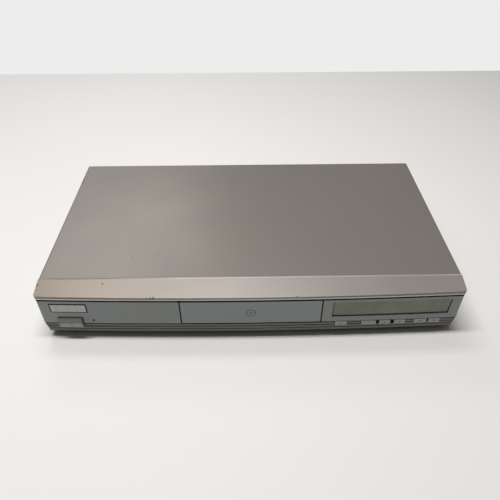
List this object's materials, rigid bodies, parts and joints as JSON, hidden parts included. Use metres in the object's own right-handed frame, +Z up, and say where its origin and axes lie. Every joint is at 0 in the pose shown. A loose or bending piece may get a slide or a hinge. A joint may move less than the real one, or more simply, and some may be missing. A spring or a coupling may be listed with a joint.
{
  "type": "dvd player",
  "caption": "Slim silver disc player with a motorised tray, display window, transport keys, push mains switch and rear phono sockets.",
  "frame": {"origin": "centre of the whole box, on the surface that the feet stand on", "axes": "+X to the right seen from the front, +Y to the back, +Z up"},
  "size_m": [0.432, 0.2508, 0.065],
  "materials": {
    "cover_paint": "satin silver paint",
    "bezel_paint": "silver paint on moulded plastic",
    "door_paint": "silver paint on moulded plastic",
    "window_tint": "tinted smoke",
    "badge_plate": "satin",
    "key_paint": "silver paint",
    "lamp": "clear dark",
    "pan_steel": "zinc plated",
    "screw_steel": "blackened",
    "foot_rubber": "matt",
    "black_plastic": "moulded",
    "white_plastic": "moulded",
    "circuit_board": "solder mask",
    "chip_black": "moulded",
    "copper_winding": "taped winding",
    "capacitor_sleeve": "sleeve",
    "fin_aluminium": "extruded",
    "motor_can": "drawn",
    "rod_chrome": "polished",
    "display_glass": "smoked",
    "sensor_smoke": "smoked",
    "fuse_glass": "clear",
    "cable_sleeve": "flat cable",
    "belt_rubber": "matt",
    "socket_mixed": "moulded",
    "lens_glass": "coated"
  },
  "bodies": {
    "root": {"base_pan": "pan_steel", "top_cover": "cover_paint", "rear_panel": "pan_steel", "front_panel": "bezel_paint", "display_window": "window_tint", "name_badge": "badge_plate", "power_led": "lamp", "feet": "foot_rubber", "cover_screws": "screw_steel", "panel_screws": "screw_steel", "board_screws": "screw_steel", "loader_screws": "screw_steel", "front_board": "circuit_board", "key_switches": "chip_black", "display_module": "display_glass", "remote_sensor": "sensor_smoke", "power_board": "circuit_board", "transformer": "copper_winding", "power_capacitors": "capacitor_sleeve", "heat_sink": "fin_aluminium", "mains_switch": "black_plastic", "mains_inlet": "black_plastic", "fuse": "fuse_glass", "main_board": "circuit_board", "main_chips": "chip_black", "board_capacitors": "capacitor_sleeve", "av_jacks": "socket_mixed", "s_video_socket": "socket_mixed", "optical_socket": "socket_mixed", "ribbon_cable": "cable_sleeve", "power_cable": "cable_sleeve", "loader_frame": "black_plastic", "clamp_bridge": "pan_steel", "loading_motor": "motor_can", "drive_belt": "belt_rubber"},
    "tray": {"tray": "black_plastic", "tray_door": "door_paint"},
    "drive_gear": {"drive_gear": "white_plastic"},
    "pulley_gear": {"pulley_gear": "white_plastic"},
    "motor_pulley": {"motor_pulley": "white_plastic"},
    "cam_slider": {"cam_slider": "white_plastic"},
    "clamper": {"clamper": "white_plastic"},
    "deck": {"deck_frame": "black_plastic", "spindle_motor": "motor_can", "guide_rods": "rod_chrome", "sled_motor": "motor_can"},
    "turntable": {"turntable": "black_plastic"},
    "sled": {"pickup_sled": "black_plastic"},
    "lens": {"pickup_lens": "lens_glass"},
    "sled_gear": {"sled_gear": "white_plastic"},
    "sled_pinion": {"sled_pinion": "white_plastic"},
    "power_button": {"power_button": "key_paint", "switch_rod": "white_plastic"},
    "key_eject": {"key_eject": "key_paint"},
    "key_play": {"key_play": "key_paint"},
    "key_pause": {"key_pause": "key_paint"},
    "key_stop": {"key_stop": "key_paint"},
    "key_previous": {"key_previous": "key_paint"},
    "key_next": {"key_next": "key_paint"}
  },
  "joints": [
    {"name": "tray_slide", "type": "slide", "parent": "root", "child": "tray", "axis": [0, -1, 0], "range_m": [0, 0.137]},
    {"name": "drive_gear_turn", "type": "hinge", "parent": "root", "child": "drive_gear", "pos_m": [-0.047, -0.1004, 0.0205], "axis": [0, 0, 1], "range_deg": [0, 984]},
    {"name": "pulley_gear_turn", "type": "hinge", "parent": "root", "child": "pulley_gear", "pos_m": [-0.0262, -0.1004, 0.0205], "axis": [0, 0, 1], "range_deg": [-3273, 0]},
    {"name": "motor_pulley_turn", "type": "hinge", "parent": "root", "child": "motor_pulley", "pos_m": [0.014, -0.1004, 0.0325], "axis": [0, 0, 1], "range_deg": [-8335, 0]},
    {"name": "deck_raise", "type": "hinge", "parent": "root", "child": "deck", "pos_m": [0, 0.0491, 0.03], "axis": [-1, 0, 0], "range_deg": [0, 5.3]},
    {"name": "cam_slide", "type": "slide", "parent": "root", "child": "cam_slider", "axis": [1, 0, 0], "range_m": [0, 0.014]},
    {"name": "turntable_spin", "type": "hinge", "parent": "deck", "child": "turntable", "pos_m": [0, -0.05001, 0.03748], "axis": [0, -0.0924, 0.9957], "continuous": true},
    {"name": "clamper_spin", "type": "hinge", "parent": "root", "child": "clamper", "pos_m": [0, -0.0489, 0.0483], "axis": [0, 0, 1], "continuous": true},
    {"name": "sled_travel", "type": "slide", "parent": "deck", "child": "sled", "axis": [0, 0.9957, 0.0924], "range_m": [0, 0.033]},
    {"name": "sled_gear_turn", "type": "hinge", "parent": "deck", "child": "sled_gear", "pos_m": [0.0405, -0.01459, 0.02369], "axis": [0, -0.0924, 0.9957], "range_deg": [-475, 0]},
    {"name": "sled_pinion_turn", "type": "hinge", "parent": "deck", "child": "sled_pinion", "pos_m": [0.047, -0.00338, 0.02473], "axis": [0, -0.0924, 0.9957], "range_deg": [0, 1578]},
    {"name": "lens_focus", "type": "slide", "parent": "sled", "child": "lens", "axis": [0, -0.0924, 0.9957], "range_m": [-0.0006, 0.0006], "stiffness_N_per_m": 60},
    {"name": "power_button_push", "type": "slide", "parent": "root", "child": "power_button", "axis": [0, 1, 0], "range_m": [0, 0.003], "stiffness_N_per_m": 500},
    {"name": "key_eject_push", "type": "slide", "parent": "root", "child": "key_eject", "axis": [0, 1, 0], "range_m": [0, 0.0005], "stiffness_N_per_m": 600},
    {"name": "key_play_push", "type": "slide", "parent": "root", "child": "key_play", "axis": [0, 1, 0], "range_m": [0, 0.0005], "stiffness_N_per_m": 600},
    {"name": "key_pause_push", "type": "slide", "parent": "root", "child": "key_pause", "axis": [0, 1, 0], "range_m": [0, 0.0005], "stiffness_N_per_m": 600},
    {"name": "key_stop_push", "type": "slide", "parent": "root", "child": "key_stop", "axis": [0, 1, 0], "range_m": [0, 0.0005], "stiffness_N_per_m": 600},
    {"name": "key_previous_push", "type": "slide", "parent": "root", "child": "key_previous", "axis": [0, 1, 0], "range_m": [0, 0.0005], "stiffness_N_per_m": 600},
    {"name": "key_next_push", "type": "slide", "parent": "root", "child": "key_next", "axis": [0, 1, 0], "range_m": [0, 0.0005], "stiffness_N_per_m": 600}
  ],
  "couplings": [
    {"joint": "drive_gear_turn", "follows": "tray_slide", "rad_per_m": 125},
    {"joint": "pulley_gear_turn", "follows": "tray_slide", "rad_per_m": -416.67},
    {"joint": "motor_pulley_turn", "follows": "tray_slide", "rad_per_m": -1061.5},
    {"joint": "cam_slide", "follows": "deck_raise", "m_per_rad": 0.15133},
    {"joint": "sled_gear_turn", "follows": "sled_travel", "rad_per_m": -250},
    {"joint": "sled_pinion_turn", "follows": "sled_travel", "rad_per_m": 833.33}
  ]
}
